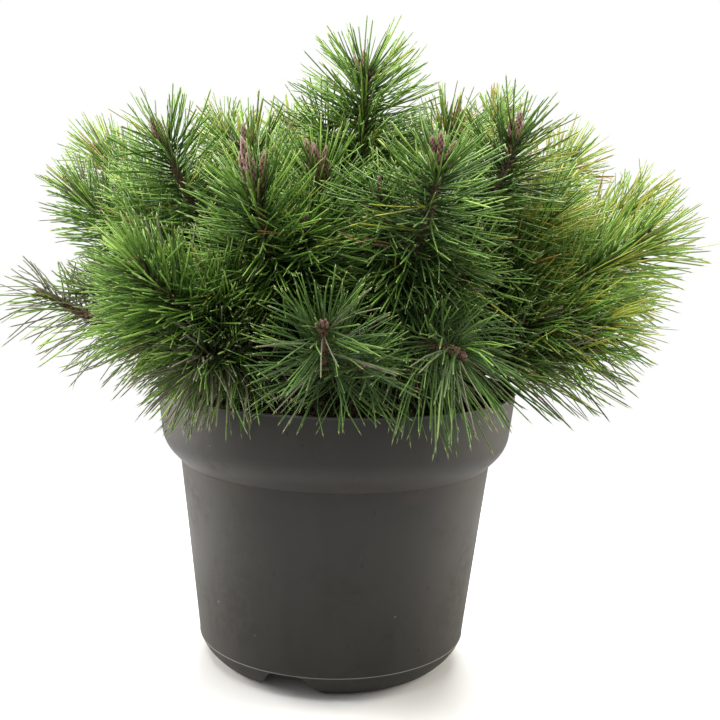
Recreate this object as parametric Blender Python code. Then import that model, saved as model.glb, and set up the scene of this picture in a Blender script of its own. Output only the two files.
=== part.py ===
"""Mugo pine in a round nursery pot.

Metres, +Z up. The origin is the middle of the pot's flat underside. The plant's best side
faces -Y, so its left is -X. A bearing is measured from -Y and grows towards +X. A lift is
measured upwards from level. Both are in degrees, as seen from the fork of the stem.
"""

from collections import namedtuple
from itertools import combinations, product
from math import asin, atan2, cos, pi, radians, sin, sqrt

import bmesh
import bpy
from mathutils import Vector, noise

# Clearances and shading
GAP = 0.0003
WELD = 0.00001
SHARP_EDGE = radians(35)

# Pot: a turned plastic container with a stepped collar and a thin wall
POT_HEIGHT = 0.178
RIM_RADIUS = 0.115
WALL = 0.002
FLOOR = 0.0025
COLLAR_FOOT = 0.1316
COLLAR_BEND = 0.1466
COLLAR_BEND_RADIUS = 0.1112
BODY_TOP_RADIUS = 0.1003
BODY_FOOT_RADIUS = 0.0870
FOOT_CURVE_HEIGHT = 0.016
FOOT_RADIUS = 0.0715
INNER_CORNER_WIDTH = 0.0028
INNER_CORNER_HEIGHT = 0.0045
COLLAR_FIRST_ANGLE = radians(-60)
POT_SIDES = 48
CURVE_STEPS = 4

# Drainage: three tapered channels under the floor, open through the foot of the wall
CHANNEL_BEARINGS = (-18, 102, 222)
CHANNEL_HEIGHT = 0.0155
CHANNEL_INNER_RADIUS = 0.034
CHANNEL_OUTER_RADIUS = 0.110
CHANNEL_BOTTOM_HALF_WIDTH = 0.020
CHANNEL_TOP_HALF_WIDTH = 0.010
CHANNEL_END_SLOPE = 0.008
DRAIN_RADIUS = 0.004
DRAIN_RING_RADIUS = 0.062
DRAIN_SIDES = 12

# Peat
SOIL_TOP = 0.155

# Stem and limbs
FORK = Vector((0, 0, 0.185))
CORE_RADIUS = 0.080
TRUNK_RADII = (0.0150, 0.0108, 0.0092, 0.0084, 0.0076, 0.0067, 0.0058, 0.0050)
TRUNK_SIDES = 12
TRUNK_BEND = 0.050
BOUGH_RADII = (0.0042, 0.0030)
BRANCH_RADII = (0.0032, 0.0025)
LIMB_SIDES = 6
LIMB_RINGS = 6
LIMB_BEND = 0.030
RING_TURN = Vector((0.37, 0.81, 0.10))
LOWEST_BOUGH = 0.17
BOUGH_SPREAD = 0.50
BOUGH_STAGGER = 0.08
FIRST_FORK = 0.42
NEXT_FORK = 0.23

# Foliage: one mass of needles round the end of each limb
NEEDLE_REACH = 0.049
NEEDLE_REACH_AHEAD = 0.028
MASS_HEEL = 0.010
MASS_SQUARENESS = 2.6
MASS_UNEVENNESS = 0.22
MASS_LUMPS = 2.4
LUMP_SHIFT = Vector((7.3, 14.6, 0))
MASS_SEGMENTS = 12
MASS_RINGS = 8
RIM_CLEARANCE_UNDER_LIMB = 0.0045
LOWEST_RIM_TILT = radians(30)
AXIS_STEPS = 24

# Every shoot of the crown: where its tip points, how far the tip is from the fork, how many
# degrees the limb climbs on its way out, and what its limb grows from. A shoot with no
# carrier shares the limb of the shoot beside it.
Shoot = namedtuple("Shoot", "name bearing lift reach climb carrier")
SHOOTS = (
    Shoot("leader", 146, 83, 0.194, 3, "trunk"),
    Shoot("top_front", -11, 60, 0.142, 3, ""),
    Shoot("top_left", -62, 65, 0.154, 4, "upper_left"),
    Shoot("top_right_back", 112, 64, 0.179, 2, "upper_right_back"),
    Shoot("upper_front_left", -25, 46, 0.159, 9, "middle_front_left"),
    Shoot("upper_front_right", 25, 47, 0.178, 11, "trunk"),
    Shoot("upper_right", 69, 54, 0.187, 10, "trunk"),
    Shoot("upper_right_back", 129, 51, 0.229, 2, "trunk"),
    Shoot("upper_back", 170, 48, 0.208, 2, ""),
    Shoot("upper_back_left", -162, 52, 0.207, 0, "trunk"),
    Shoot("upper_left_back", -130, 55, 0.193, 0, "upper_back_left"),
    Shoot("upper_left", -70, 52, 0.184, 8, "trunk"),
    Shoot("middle_front_left", -41, 24, 0.175, 7, "trunk"),
    Shoot("middle_left", -98, 33, 0.206, 7, "low_left"),
    Shoot("far_left_top", -120, 35, 0.245, 5, "upper_left"),
    Shoot("middle_back_left", -142, 29, 0.205, 3, "low_back_left"),
    Shoot("middle_back", -178, 27, 0.203, 4, "low_back"),
    Shoot("middle_back_right", 149, 30, 0.212, 4, "low_back_right"),
    Shoot("far_right_back", 121, 37, 0.243, 4, "upper_right_back"),
    Shoot("far_right_top", 104, 29, 0.240, 4, "low_right"),
    Shoot("far_right", 81, 26, 0.211, 5, "low_right"),
    Shoot("front_rosette", -3, 17, 0.162, 9, "trunk"),
    Shoot("right_rosette", 25, 12, 0.156, -7, "front_rosette"),
    Shoot("low_front_left", -35, 9, 0.138, -3, ""),
    Shoot("low_left", -90, 17, 0.196, 9, "trunk"),
    Shoot("low_left_back", -117, 10, 0.174, 4, ""),
    Shoot("low_back_left", -146, 8, 0.170, 3, "trunk"),
    Shoot("low_back", -176, 10, 0.173, 4, "trunk"),
    Shoot("low_back_right", 146, 8, 0.172, 3, "trunk"),
    Shoot("low_right_back", 110, 9, 0.178, 4, "low_back_right"),
    Shoot("low_right", 71, 10, 0.163, 5, "trunk"),
)
LEADER = SHOOTS[0]


# Scene and materials

def clear_scene():
    for obj in list(bpy.data.objects):
        bpy.data.objects.remove(obj)


def material(name, colour, roughness):
    made = bpy.data.materials.new(name)
    made.use_nodes = True
    shader = made.node_tree.nodes["Principled BSDF"]
    shader.inputs["Base Color"].default_value = (*colour, 1)
    shader.inputs["Roughness"].default_value = roughness
    shader.inputs["Metallic"].default_value = 0
    return made


def place(name, shape, finish=None):
    """Puts a finished bmesh into the scene as an object, or as a cutter with no finish."""
    mesh = bpy.data.meshes.new(name)
    shape.to_mesh(mesh)
    shape.free()
    obj = bpy.data.objects.new(name, mesh)
    bpy.context.scene.collection.objects.link(obj)
    if finish is None:
        obj.hide_render = True
        obj.display_type = "WIRE"
    else:
        mesh.materials.append(finish)
        mesh.shade_smooth()
        mesh.set_sharp_from_angle(angle=SHARP_EDGE)
    return obj


def cut(obj, cutter):
    modifier = obj.modifiers.new("cut_" + cutter.name, "BOOLEAN")
    modifier.operation = "DIFFERENCE"
    modifier.solver = "EXACT"
    modifier.object = cutter


def weld(obj):
    """Makes one point of those that a cut leaves almost together."""
    modifier = obj.modifiers.new("weld", "WELD")
    modifier.merge_threshold = WELD


# Basic shapes

def direction(bearing, lift):
    bearing, lift = radians(bearing), radians(lift)
    return Vector((sin(bearing) * cos(lift), -cos(bearing) * cos(lift), sin(lift)))


def turned(name, profile, finish=None):
    """A profile of (radius, height) points, both ends on the axis, spun round Z."""
    shape = bmesh.new()
    points = [shape.verts.new((radius, 0, height)) for radius, height in profile]
    edges = [shape.edges.new(pair) for pair in zip(points, points[1:])]
    bmesh.ops.spin(
        shape, geom=points + edges, cent=(0, 0, 0), axis=(0, 0, 1),
        angle=2 * pi, steps=POT_SIDES, use_merge=True,
    )
    bmesh.ops.remove_doubles(shape, verts=shape.verts, dist=WELD)
    bmesh.ops.recalc_face_normals(shape, faces=shape.faces)
    return place(name, shape, finish)


def tube(name, centres, ends, radii, sides, finish=None):
    """A closed tube with a ring of points round each centre. Its first and last rings are
    square to the two directions in ends, and the others to their neighbours' line."""
    shape = bmesh.new()
    middles = [(after - before) for before, after in zip(centres, centres[2:])]
    rings = []
    for centre, along, radius in zip(centres, (ends[0], *middles, ends[1]), radii):
        side = along.cross(RING_TURN).normalized()
        other = along.cross(side).normalized()
        angles = [2 * pi * step / sides for step in range(sides)]
        rings.append([
            shape.verts.new(centre + radius * (side * cos(angle) + other * sin(angle)))
            for angle in angles
        ])
    for low, high in zip(rings, rings[1:]):
        for step in range(sides):
            after = (step + 1) % sides
            shape.faces.new((low[step], low[after], high[after], high[step]))
    shape.faces.new(rings[0])
    shape.faces.new(rings[-1])
    bmesh.ops.recalc_face_normals(shape, faces=shape.faces)
    return place(name, shape, finish)


def curve_points(start, bend, end, count):
    """Points on a quadratic curve that leaves start towards bend and arrives from it."""
    points = []
    for index in range(count):
        t = index / (count - 1)
        points.append(start * (1 - t) ** 2 + bend * 2 * t * (1 - t) + end * t ** 2)
    return points


def point_along(points, share):
    """The point at a share of the way along a chain of points."""
    position = share * (len(points) - 1)
    whole = min(int(position), len(points) - 2)
    return points[whole].lerp(points[whole + 1], position - whole)


def blend(first, last, count):
    return [first + (last - first) * index / (count - 1) for index in range(count)]


# Pot and peat

def arc(centre, width, height, from_angle, to_angle):
    """Points on part of an ellipse, in the plane of a profile."""
    points = []
    for angle in blend(from_angle, to_angle, CURVE_STEPS + 1):
        points.append((centre[0] + width * cos(angle), centre[1] + height * sin(angle)))
    return points


def outer_profile():
    """From the middle of the underside round the foot and up the wall to the rim."""
    foot_width = BODY_FOOT_RADIUS - FOOT_RADIUS
    foot_centre = (FOOT_RADIUS, FOOT_CURVE_HEIGHT)
    foot = arc(foot_centre, foot_width, FOOT_CURVE_HEIGHT, -pi / 2, 0)
    return [(0, 0)] + foot + collar_underside(0) + [(RIM_RADIUS, POT_HEIGHT)]


def collar_underside(inset):
    """The rounded step from the body out to the collar, this far inside the outer wall."""
    width = (COLLAR_BEND_RADIUS - BODY_TOP_RADIUS) / (1 - cos(COLLAR_FIRST_ANGLE))
    height = (COLLAR_BEND - COLLAR_FOOT) / -sin(COLLAR_FIRST_ANGLE)
    centre = (COLLAR_BEND_RADIUS - width - inset, COLLAR_BEND + inset)
    return arc(centre, width, height, COLLAR_FIRST_ANGLE, 0)


def inner_profile(inset, bottom, top):
    """The cavity, this far inside the outer wall, between two heights."""
    wall_foot = BODY_FOOT_RADIUS - inset
    return [
        (0, bottom),
        (FOOT_RADIUS - inset, bottom),
        (wall_foot - INNER_CORNER_WIDTH, bottom + INNER_CORNER_HEIGHT),
        (wall_foot, FOOT_CURVE_HEIGHT),
        *collar_underside(inset),
        (wall_radius(top - inset) - inset, top),
        (0, top),
    ]


def wall_radius(height):
    """Outer radius of the collar, which widens in a straight line to the rim."""
    share = (height - COLLAR_BEND) / (POT_HEIGHT - COLLAR_BEND)
    return COLLAR_BEND_RADIUS + (RIM_RADIUS - COLLAR_BEND_RADIUS) * share


def channel_blocks(name, margin):
    """Three tapered blocks, as large as the channels and this margin on every side."""
    shape = bmesh.new()
    for bearing in CHANNEL_BEARINGS:
        out = direction(bearing, 0)
        across = Vector((-out.y, out.x, 0))
        corners = []
        for height in (-CHANNEL_HEIGHT / 2, CHANNEL_HEIGHT):
            share = height / CHANNEL_HEIGHT
            half = CHANNEL_BOTTOM_HALF_WIDTH + margin
            half += (CHANNEL_TOP_HALF_WIDTH - CHANNEL_BOTTOM_HALF_WIDTH) * share
            inner = CHANNEL_INNER_RADIUS + CHANNEL_END_SLOPE * share - margin
            level = Vector((0, 0, height + (margin if height > 0 else 0)))
            for along, side in (
                (inner, -half), (CHANNEL_OUTER_RADIUS, -half),
                (CHANNEL_OUTER_RADIUS, half), (inner, half),
            ):
                corners.append(shape.verts.new(out * along + across * side + level))
        for face in (
            (0, 1, 2, 3), (4, 5, 6, 7), (0, 1, 5, 4),
            (1, 2, 6, 5), (2, 3, 7, 6), (3, 0, 4, 7),
        ):
            shape.faces.new([corners[index] for index in face])
    bmesh.ops.recalc_face_normals(shape, faces=shape.faces)
    return place(name, shape)


def drain_holes(name):
    shape = bmesh.new()
    for bearing in CHANNEL_BEARINGS:
        made = bmesh.ops.create_cone(
            shape, cap_ends=True, segments=DRAIN_SIDES,
            radius1=DRAIN_RADIUS, radius2=DRAIN_RADIUS, depth=4 * WALL,
        )
        middle = direction(bearing, 0) * DRAIN_RING_RADIUS
        middle.z = CHANNEL_HEIGHT + WALL / 2
        bmesh.ops.translate(shape, verts=made["verts"], vec=middle)
    return place(name, shape)


def make_pot(plastic):
    pot = turned("pot", outer_profile() + [(0, POT_HEIGHT)], plastic)
    cavity = turned("pot_cavity", inner_profile(WALL, FLOOR, POT_HEIGHT + WALL))
    cut(cavity, channel_blocks("channel_walls", WALL))
    cut(pot, cavity)
    cut(pot, channel_blocks("channels", 0))
    cut(pot, drain_holes("drains"))
    weld(pot)


def make_soil(peat):
    profile = inner_profile(WALL + GAP, FLOOR + GAP, SOIL_TOP)
    soil = turned("soil", profile, peat)
    cut(soil, channel_blocks("channel_walls_in_soil", WALL + GAP))
    weld(soil)


# Limbs

def base_direction(shoot):
    return direction(shoot.bearing, shoot.lift - shoot.climb)


def base_point(shoot):
    """Where a shoot's limb enters its needles."""
    return FORK + base_direction(shoot) * CORE_RADIUS


def tip_point(shoot):
    return FORK + direction(shoot.bearing, shoot.lift) * shoot.reach


def stem_and_room(name, centres, ends, radii, sides, bark):
    """A limb, and the slightly larger cutter that fits the limbs growing from it to it."""
    limb = tube(name, centres, ends, radii, sides, bark)
    room = tube(name + "_room", centres, ends, [radius + GAP for radius in radii], sides)
    return limb, room


def make_trunk(bark):
    """The stem, from a flat cut on the peat up into the leader's needles."""
    along = base_direction(LEADER)
    top = base_point(LEADER) - along * GAP
    foot = Vector((0, 0, SOIL_TOP + GAP))
    centres = curve_points(foot, top - along * TRUNK_BEND, top, len(TRUNK_RADII))
    ends = (Vector((0, 0, 1)), along)
    room = stem_and_room("trunk", centres, ends, TRUNK_RADII, TRUNK_SIDES, bark)[1]
    return centres, room


def make_limb(kind, shoot, start, widths, carrier_room, bark):
    """One tapering limb that bends out of its carrier to the base of a shoot's needles."""
    along = base_direction(shoot)
    end = base_point(shoot) - along * GAP
    centres = curve_points(start, end - along * LIMB_BEND, end, LIMB_RINGS)
    ends = (centres[1] - centres[0], along)
    radii = blend(*widths, LIMB_RINGS)
    name = kind + "_" + shoot.name
    limb, room = stem_and_room(name, centres, ends, radii, LIMB_SIDES, bark)
    cut(limb, carrier_room)
    return centres, room


def make_limbs(bark):
    """Boughs from the trunk, higher up it the steeper they are, then branches from them."""
    stem, trunk_room = make_trunk(bark)
    for number, shoot in enumerate(carried_by("trunk")):
        steepness = sin(radians(shoot.lift - shoot.climb))
        share = LOWEST_BOUGH + BOUGH_SPREAD * steepness + BOUGH_STAGGER * (number % 2)
        start = point_along(stem, share)
        bough, room = make_limb("bough", shoot, start, BOUGH_RADII, trunk_room, bark)
        for order, grown in enumerate(carried_by(shoot.name)):
            start = point_along(bough, FIRST_FORK + NEXT_FORK * order)
            make_limb("branch", grown, start, BRANCH_RADII, room, bark)


def carried_by(name):
    return [shoot for shoot in SHOOTS if shoot.carrier == name and shoot is not LEADER]


# Foliage

def nearest_points(first, second):
    """The closest pair of points on two straight axes, searched in small steps."""
    shares = blend(0, 1, AXIS_STEPS + 1)
    pairs = product(
        [first[0].lerp(first[1], share) for share in shares],
        [second[0].lerp(second[1], share) for share in shares],
    )
    return min(pairs, key=lambda pair: (pair[0] - pair[1]).length_squared)


def rim_plane(shoot):
    """A plane that touches the rim and passes close under the end of a limb, so the needles
    clear the pot and may hang outside it."""
    out = direction(shoot.bearing, 0)
    rim = out * (RIM_RADIUS + GAP) + Vector((0, 0, POT_HEIGHT + GAP))
    inwards = base_point(shoot) - rim
    along, above = inwards.dot(out), inwards.z
    distance = sqrt(along ** 2 + above ** 2)
    tilt = asin(RIM_CLEARANCE_UNDER_LIMB / distance) - atan2(along, above)
    tilt = max(tilt, LOWEST_RIM_TILT)
    return rim, -out * cos(tilt) - Vector((0, 0, sin(tilt)))


def dividing_planes():
    """For each shoot, the planes as (point, outward direction) that keep its mass off its
    limb, off the pot and off every other mass. A plane between two shoots passes midway
    between their nearest points, and leans towards the line from middle to middle."""
    axes = {shoot.name: (base_point(shoot), tip_point(shoot)) for shoot in SHOOTS}
    planes = {}
    for shoot in SHOOTS:
        planes[shoot.name] = [(base_point(shoot), -base_direction(shoot)), rim_plane(shoot)]
    for first, second in combinations(axes, 2):
        here, there = nearest_points(axes[first], axes[second])
        from_middle = sum(axes[second], Vector()) - sum(axes[first], Vector())
        across = ((there - here).normalized() + from_middle.normalized()).normalized()
        middle = (here + there) / 2
        planes[first].append((middle - across * GAP / 2, across))
        planes[second].append((middle + across * GAP / 2, -across))
    return planes


def make_mass(shoot, number, planes, needles):
    """An uneven, rather square ellipsoid round a shoot, cut flat by its planes."""
    base, tip = base_point(shoot), tip_point(shoot)
    axis = tip - base
    half_length = (axis.length + NEEDLE_REACH_AHEAD + MASS_HEEL) / 2
    middle = base + axis.normalized() * (half_length - MASS_HEEL)
    turn = axis.to_track_quat("Z", "Y")
    shape = bmesh.new()
    bmesh.ops.create_uvsphere(
        shape, u_segments=MASS_SEGMENTS, v_segments=MASS_RINGS, radius=1,
    )
    for point in shape.verts:
        ray = Vector((
            point.co.x * NEEDLE_REACH, point.co.y * NEEDLE_REACH, point.co.z * half_length,
        )).normalized()
        across = sqrt(ray.x ** 2 + ray.y ** 2) / NEEDLE_REACH
        length = across ** MASS_SQUARENESS + abs(ray.z / half_length) ** MASS_SQUARENESS
        reach = length ** (-1 / MASS_SQUARENESS)
        lump = noise.noise(ray * MASS_LUMPS + LUMP_SHIFT * number)
        reach *= 1 + MASS_UNEVENNESS * lump
        out = turn @ ray
        for at, outward in planes:
            facing = outward.dot(out)
            if facing > 0:
                reach = min(reach, outward.dot(at - middle) / facing)
        point.co = middle + out * reach
    place("foliage_" + shoot.name, shape, needles)


def main():
    clear_scene()
    make_pot(material("pot_plastic", (0.055, 0.053, 0.046), 0.55))
    make_soil(material("peat", (0.028, 0.018, 0.012), 0.95))
    make_limbs(material("bark", (0.085, 0.055, 0.035), 0.90))
    needles = material("needles", (0.070, 0.150, 0.045), 0.60)
    planes = dividing_planes()
    for number, shoot in enumerate(SHOOTS):
        make_mass(shoot, number, planes[shoot.name], needles)


main()
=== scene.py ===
"""Looks of a mugo pine in a nursery pot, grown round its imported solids.

Metres, +Z up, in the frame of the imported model: the origin is the middle of the pot's
underside and the plant's best side faces -Y. A bearing is measured from -Y and grows towards
+X, and a lift is measured upwards from level, both as seen from the fork of the stem.
"""

from collections import namedtuple
from math import cos, pi, radians, sin

import bpy
import numpy as np
from bpy.props import (
    FloatProperty,
    FloatVectorProperty,
    IntProperty,
    PointerProperty,
)
from mathutils import Matrix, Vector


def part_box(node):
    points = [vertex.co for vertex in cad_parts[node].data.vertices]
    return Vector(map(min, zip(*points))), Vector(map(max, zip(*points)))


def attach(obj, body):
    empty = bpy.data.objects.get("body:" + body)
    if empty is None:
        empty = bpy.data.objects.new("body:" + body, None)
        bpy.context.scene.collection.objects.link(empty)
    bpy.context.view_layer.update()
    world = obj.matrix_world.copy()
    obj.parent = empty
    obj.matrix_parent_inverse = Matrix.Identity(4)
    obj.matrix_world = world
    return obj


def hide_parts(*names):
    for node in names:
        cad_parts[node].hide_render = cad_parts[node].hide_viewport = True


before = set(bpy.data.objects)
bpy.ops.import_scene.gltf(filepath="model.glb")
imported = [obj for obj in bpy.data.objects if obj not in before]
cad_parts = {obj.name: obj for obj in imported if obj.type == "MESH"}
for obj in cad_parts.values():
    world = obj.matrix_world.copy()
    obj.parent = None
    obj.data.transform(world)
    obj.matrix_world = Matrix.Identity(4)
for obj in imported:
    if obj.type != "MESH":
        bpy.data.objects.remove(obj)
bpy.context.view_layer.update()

bl_info = {
    "name": "Potted Mugo Pine",
    "version": (1, 0, 0),
    "blender": (4, 5, 0),
    "location": "View3D > Sidebar > Pine",
    "description": "Grows the looks of a potted mugo pine round its packed solids",
    "category": "Add Mesh",
}

POT_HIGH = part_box("pot")[1]
PEAT_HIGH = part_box("soil")[1]
BODY = "root"

# Sizes that the solids have too
GAP = 0.0003
FORK = np.array((0, 0, 0.185))
CORE_RADIUS = 0.080
TRUNK_RADII = (0.0150, 0.0108, 0.0092, 0.0084, 0.0076, 0.0067, 0.0058, 0.0050)
TRUNK_BEND = 0.050
BOUGH_RADII = (0.0042, 0.0030)
BRANCH_RADII = (0.0032, 0.0025)
LIMB_BEND = 0.030
LOWEST_BOUGH = 0.17
BOUGH_SPREAD = 0.50
BOUGH_STAGGER = 0.08
FIRST_FORK = 0.42
NEXT_FORK = 0.23
CHANNEL_BEARINGS = (-18, 102, 222)

# Number of points on the centre lines of the trunk, of limbs and of side shoots
TRUNK_POINTS = 40
LIMB_POINTS = 24
SIDE_POINTS = 12

# The peat's edge at the wall, how far out its crumbs lie, how far out a fallen needle may
# start and end, and the seeds of the two
PEAT_EDGE = 0.1088
CRUMB_REACH = 0.106
LITTER_START = 0.085
LITTER_END = 0.104
CRUMB_SEED, LITTER_SEED = 7, 8

# The floor lies a little under the pot, so that the two faces don't show through each other
FLOOR_LEVEL = -0.0005

# Every shoot of the crown: where its tip points, how far the tip is from the fork, how many
# degrees it climbs on its way out, what kind of limb holds it and what that grows from, the
# degrees between its needles and its stem, how dense and how long they are for the plant, and
# the shares of yellow, golden and grey ones
Shoot = namedtuple(
    "Shoot", "name bearing lift reach climb limb carrier spread dense size yellow golden grey"
)
SHOOTS = (
    Shoot("leader", 146, 83, 0.194, 3, "trunk", "", 88, 1.6, 1.12, 0.05, 0, 0),
    Shoot("top_front", -11, 60, 0.142, 3, "twig", "trunk", 70, 1, 0.95, 0.02, 0, 0),
    Shoot("top_left", -62, 65, 0.154, 4, "branch", "upper_left", 64, 1, 0.92, 0.1, 0.01, 0),
    Shoot("top_right_back", 112, 64, 0.179, 2, "branch", "upper_right_back", 62, 0.9, 0.85, 0.2, 0.1, 0),
    Shoot("upper_front_left", -25, 46, 0.159, 9, "branch", "middle_front_left", 66, 1.1, 0.97, 0.02, 0, 0),
    Shoot("upper_front_right", 25, 47, 0.178, 11, "bough", "trunk", 84, 1.1, 1.00, 0.03, 0, 0),
    Shoot("upper_right", 69, 54, 0.187, 10, "bough", "trunk", 80, 1.1, 0.97, 0.05, 0.01, 0),
    Shoot("upper_right_back", 129, 51, 0.229, 2, "bough", "trunk", 60, 0.8, 0.7, 0.25, 0.14, 0),
    Shoot("upper_back", 170, 48, 0.208, 2, "twig", "trunk", 62, 1, 0.86, 0.25, 0.1, 0),
    Shoot("upper_back_left", -162, 52, 0.207, 0, "bough", "trunk", 62, 0.9, 0.8, 0.22, 0.08, 0),
    Shoot("upper_left_back", -130, 55, 0.193, 0, "branch", "upper_back_left", 62, 0.9, 0.78, 0.22, 0.08, 0),
    Shoot("upper_left", -70, 52, 0.184, 8, "bough", "trunk", 76, 1, 0.95, 0.04, 0, 0),
    Shoot("middle_front_left", -41, 24, 0.175, 7, "bough", "trunk", 52, 1.2, 0.95, 0.01, 0, 0.04),
    Shoot("middle_left", -98, 33, 0.206, 7, "branch", "low_left", 52, 1, 0.80, 0.02, 0, 0.15),
    Shoot("far_left_top", -120, 35, 0.245, 5, "branch", "upper_left", 56, 0.9, 0.95, 0.1, 0.03, 0.03),
    Shoot("middle_back_left", -142, 29, 0.205, 3, "branch", "low_back_left", 58, 1, 0.95, 0.06, 0.01, 0.02),
    Shoot("middle_back", -178, 27, 0.203, 4, "branch", "low_back", 58, 1, 0.95, 0.1, 0.02, 0),
    Shoot("middle_back_right", 149, 30, 0.212, 4, "branch", "low_back_right", 58, 1, 0.95, 0.12, 0.02, 0),
    Shoot("far_right_back", 121, 37, 0.243, 4, "branch", "upper_right_back", 54, 0.9, 0.90, 0.35, 0.08, 0),
    Shoot("far_right_top", 104, 29, 0.24, 4, "branch", "low_right", 46, 0.8, 0.85, 0.38, 0.04, 0),
    Shoot("far_right", 81, 26, 0.211, 5, "branch", "low_right", 48, 0.85, 1.05, 0.28, 0.01, 0),
    Shoot("front_rosette", -3, 17, 0.162, 9, "bough", "trunk", 78, 0.62, 0.92, 0, 0, 0.06),
    Shoot("right_rosette", 25, 12, 0.156, -7, "branch", "front_rosette", 72, 0.66, 1.0, 0, 0, 0.06),
    Shoot("low_front_left", -35, 9, 0.138, -3, "twig", "trunk", 66, 1.7, 0.86, 0, 0, 0.65),
    Shoot("low_left", -90, 14, 0.196, 6, "bough", "trunk", 58, 0.42, 0.86, 0, 0, 0.85),
    Shoot("low_left_back", -117, 10, 0.174, 4, "twig", "low_left", 46, 0.7, 0.64, 0.01, 0, 0.5),
    Shoot("low_back_left", -146, 8, 0.17, 3, "bough", "trunk", 50, 0.9, 0.85, 0.01, 0.01, 0.08),
    Shoot("low_back", -176, 10, 0.173, 4, "bough", "trunk", 54, 0.9, 0.90, 0.02, 0.01, 0.05),
    Shoot("low_back_right", 146, 8, 0.172, 3, "bough", "trunk", 54, 0.9, 0.90, 0.04, 0.01, 0.05),
    Shoot("low_right_back", 110, 9, 0.178, 4, "branch", "low_back_right", 44, 0.60, 0.86, 0.08, 0.01, 0.20),
    Shoot("low_right", 71, 10, 0.163, 5, "bough", "trunk", 42, 0.64, 0.90, 0.06, 0, 0.25),
)
LEADER = SHOOTS[0]

# Painted shade: how many tones darker a shoot's needles are, for the shade that it lies in,
# or paler where the number is negative
SHADED = {
    "front_rosette": 1.35, "right_rosette": 1.6, "upper_front_right": 0.4,
    "upper_right": 1.0, "far_right_top": -0.4, "far_right": -0.3, "low_left": -0.7,
    "low_right": 0.3,
}

# How long a shoot's buds are, as a share of the plant's bud length
BUD_SIZES = {
    "upper_front_left": 1.7, "top_front": 1.5, "upper_front_right": 1.15,
    "front_rosette": 0.42, "right_rosette": 0.34, "low_left": 0.50, "middle_front_left": 0.75,
    "low_front_left": 0.45,
}

# Colours of needles, as plain base colours: five greens from the oldest to the freshest,
# then yellow, golden, grey and dead ones, and two for the points of needles: a pale one,
# which is partly a painted highlight on the tips, and a dry straw one
NEEDLE_COLOURS = {
    "needle_shade": (0.043, 0.086, 0.019),
    "needle_deep": (0.067, 0.135, 0.024),
    "needle_middle": (0.106, 0.206, 0.033),
    "needle_fresh": (0.182, 0.322, 0.050),
    "needle_bright": (0.300, 0.465, 0.092),
    "needle_yellow": (0.360, 0.380, 0.060),
    "needle_golden": (0.340, 0.190, 0.045),
    "needle_grey": (0.150, 0.158, 0.092),
    "needle_dead": (0.220, 0.110, 0.045),
    "needle_point_pale_and_highlight": (0.270, 0.350, 0.130),
    "needle_point_straw": (0.330, 0.310, 0.120),
}
GREENS = 5
YELLOW, GOLDEN, GREY, DEAD = 5, 6, 7, 8
PALE_POINT_AND_HIGHLIGHT, STRAW_POINT = 9, 10

# Colours of the small marks on the pot: dark and pale specks, and a pale moulding line and lip
DARK_SPECK = (0.004, 0.0035, 0.003)
PALE_SPECK = (0.22, 0.21, 0.19)
PALE_LINE = (0.25, 0.24, 0.21)

# The turn from one needle or side shoot to the next, and a direction that no stem runs
# along, which the rings round a stem take their start from
GOLDEN_ANGLE = pi * (3 - 5 ** 0.5)
RING_TURN = np.array((0.37, 0.81, 0.10))


class PotSettings(bpy.types.PropertyGroup):
    lip_width: FloatProperty(
        name="Lip width", description="Thickness of the rim's lip",
        default=0.0026, unit="LENGTH",
    )
    collar_foot: FloatProperty(
        name="Collar foot", description="Height where the wall steps out to the collar",
        default=0.1316, unit="LENGTH",
    )
    foot_radius: FloatProperty(
        name="Foot radius", description="Radius of the flat underside",
        default=0.0715, unit="LENGTH",
    )
    channel_height: FloatProperty(
        name="Channel height", description="Height of the three drain channels",
        default=0.0155, unit="LENGTH",
    )
    plastic: FloatVectorProperty(
        name="Plastic", description="Colour of the clean plastic", subtype="COLOR",
        default=(0.0162, 0.0150, 0.0120),
    )
    dust: FloatVectorProperty(
        name="Dust", description="Colour of the dust under the collar", subtype="COLOR",
        default=(0.110, 0.055, 0.032),
    )


class PeatSettings(bpy.types.PropertyGroup):
    peat: FloatVectorProperty(
        name="Peat", description="Colour of moist peat", subtype="COLOR",
        default=(0.020, 0.012, 0.008),
    )
    crumbs: IntProperty(
        name="Crumbs", description="Lumps of peat and bark on the surface", default=900,
    )
    fallen: IntProperty(
        name="Fallen needles", description="Pairs of dead needles on the peat", default=120,
    )


class GrowthSettings(bpy.types.PropertyGroup):
    seed: IntProperty(
        name="Seed", description="Start of the branching rule's random draws", default=41,
    )
    needle_length: FloatProperty(
        name="Needle length", description="Length of a full-grown needle",
        default=0.047, unit="LENGTH",
    )
    needle_width: FloatProperty(
        name="Needle width", description="Width of a needle across its flat side",
        default=0.00100, unit="LENGTH",
    )
    pairs_per_metre: FloatProperty(
        name="Pairs per metre", description="Needle pairs on each metre of shoot",
        default=2400,
    )
    side_spacing: FloatProperty(
        name="Side shoot spacing", description="Length of shoot for each side shoot",
        default=0.040, unit="LENGTH",
    )
    bud_length: FloatProperty(
        name="Bud length", description="Length of the bud at a shoot's tip",
        default=0.018, unit="LENGTH",
    )
    bark: FloatVectorProperty(
        name="Bark", description="Colour of old bark", subtype="COLOR",
        default=(0.085, 0.055, 0.038),
    )


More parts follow.
